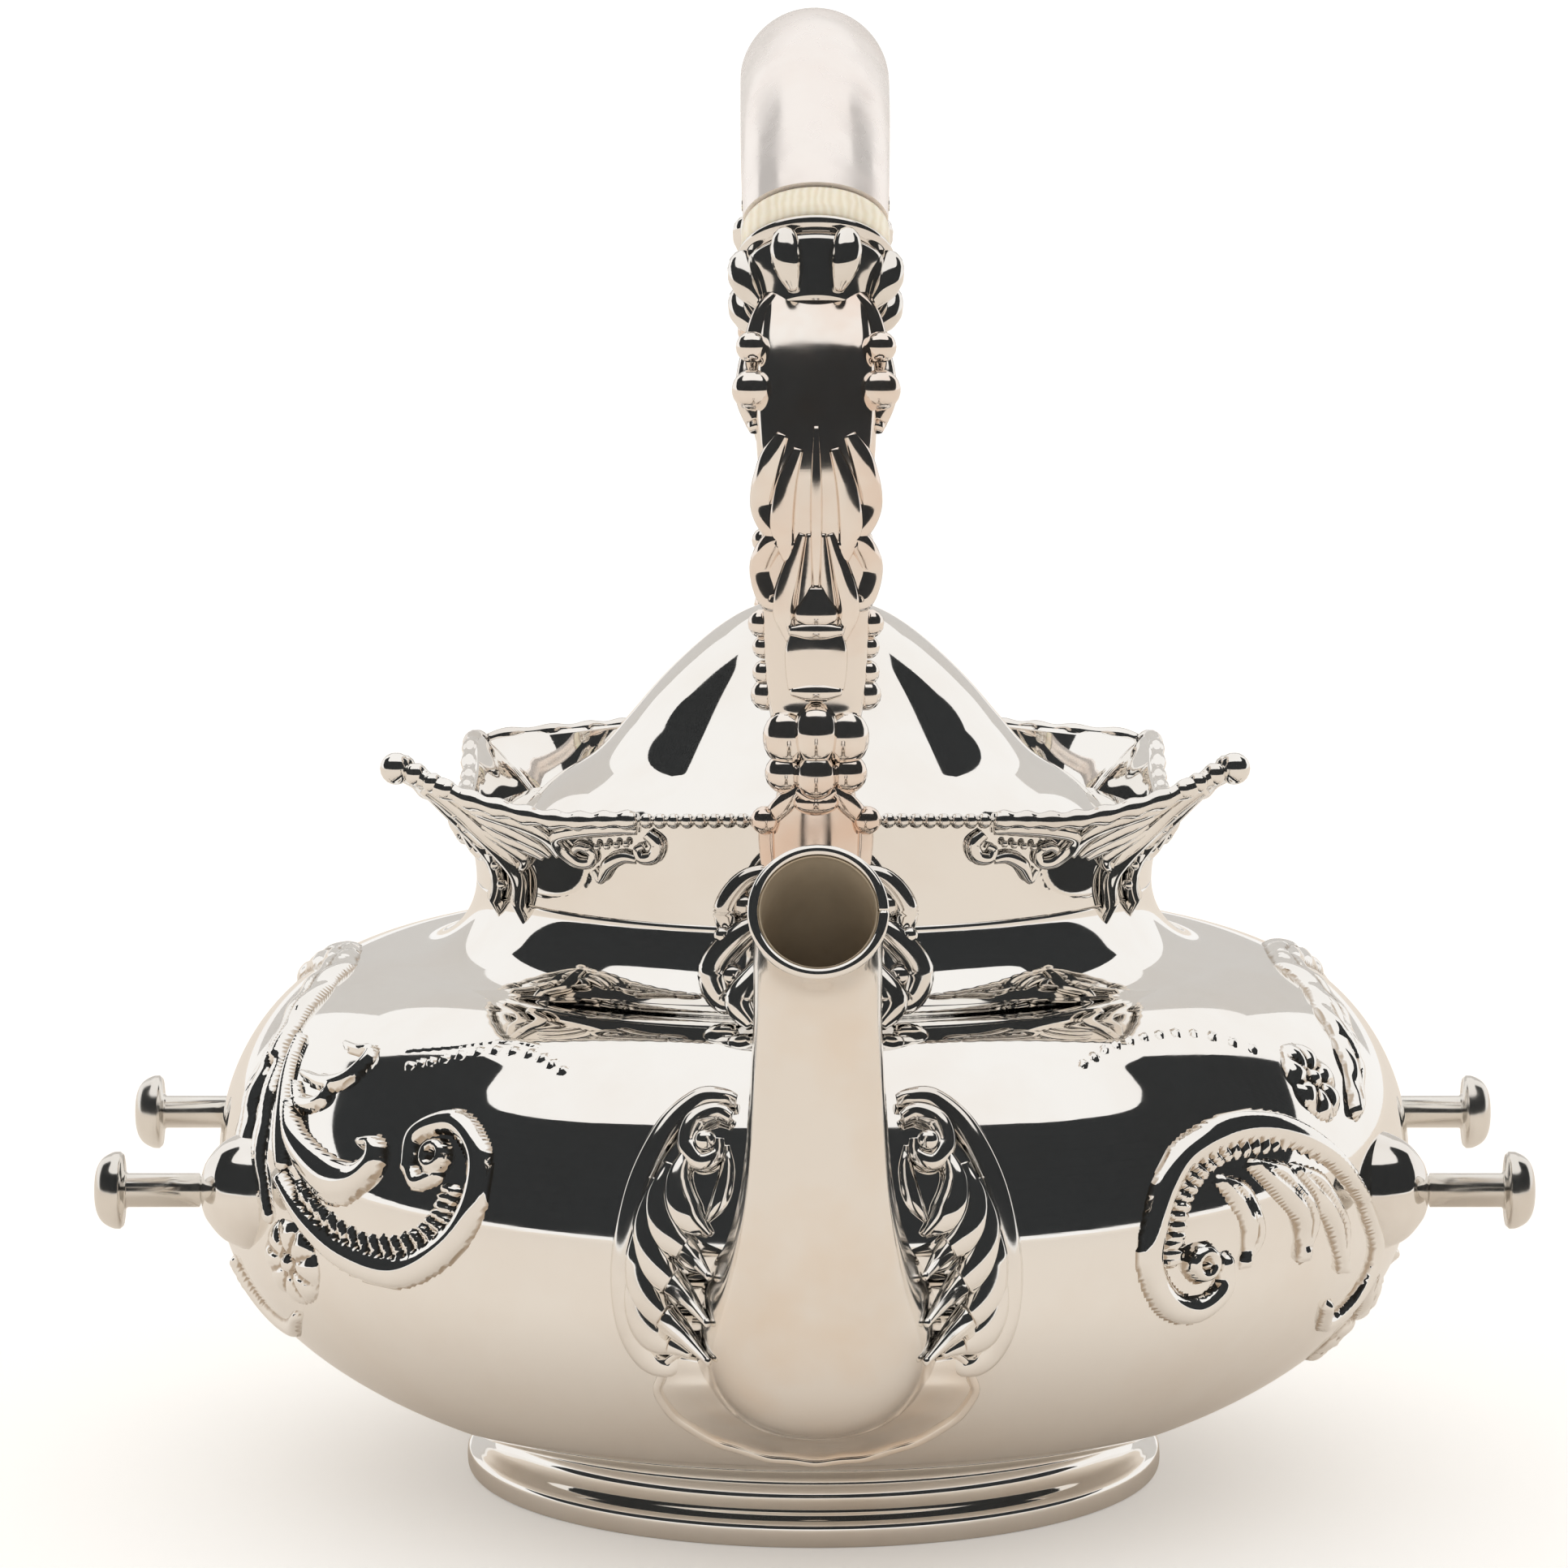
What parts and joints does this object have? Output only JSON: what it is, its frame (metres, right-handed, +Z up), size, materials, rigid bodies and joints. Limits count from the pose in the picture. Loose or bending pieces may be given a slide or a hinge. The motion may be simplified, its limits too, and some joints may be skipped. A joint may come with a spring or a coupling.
{
  "type": "tilting tea kettle",
  "caption": "Silver tea kettle on a ring foot with a bell lid, gooseneck spout, fixed bail handle with cream heat breaks, and headed side pins for hanging in a stand.",
  "frame": {"origin": "on the table at the axis of the body, in the centre of the foot ring", "axes": "+Z up; the spout points along -Y; the hanging pins lie along +X and -X"},
  "size_m": [0.2252, 0.2288, 0.2345],
  "materials": {
    "silver": "polished silver plate with fine polishing scratches",
    "grip_silver": "handled silver plate, hazy",
    "dull_silver": "tarnished silver plate",
    "pin_silver": "silvered pin ends",
    "brass_fittings": "plain turned brass",
    "ivory_insulator": "cream heat break, softly polished"
  },
  "bodies": {
    "kettle": {"body_bowl": "silver", "body_shoulder": "silver", "collar": "silver", "corner_curl_front_left": "silver", "corner_curl_front_right": "silver", "corner_curl_rear_left": "silver", "corner_curl_rear_right": "silver", "foot_ring": "silver", "front_arm": "silver", "front_insulator": "ivory_insulator", "front_mount": "silver", "front_socket": "silver", "grip_lower_shell": "grip_silver", "grip_upper_shell": "grip_silver", "insulator_pins": "pin_silver", "lid_seat": "silver", "pin_boss_front_left": "silver", "pin_boss_front_right": "silver", "pin_boss_rear_left": "silver", "pin_boss_rear_right": "silver", "rear_arm": "silver", "rear_insulator": "ivory_insulator", "rear_mount": "silver", "rear_socket": "silver", "seam_band": "dull_silver", "spout": "silver", "spout_cheek_left": "silver", "spout_cheek_right": "silver", "spout_lip": "silver", "strainer": "dull_silver", "trunnion_front_left": "silver", "trunnion_front_right": "silver", "trunnion_rear_left": "silver", "trunnion_rear_right": "silver"},
    "lid": {"finial_base": "silver", "finial_insulator": "ivory_insulator", "finial_knob": "silver", "finial_nut": "brass_fittings", "finial_stud": "brass_fittings", "lid_bezel": "silver", "lid_dome": "silver", "lid_rim": "silver"}
  },
  "joints": [
    {"name": "lid_lift", "type": "slide", "parent": "kettle", "child": "lid", "axis": [0, 0, 1], "range_m": [0, 0.04]}
  ]
}
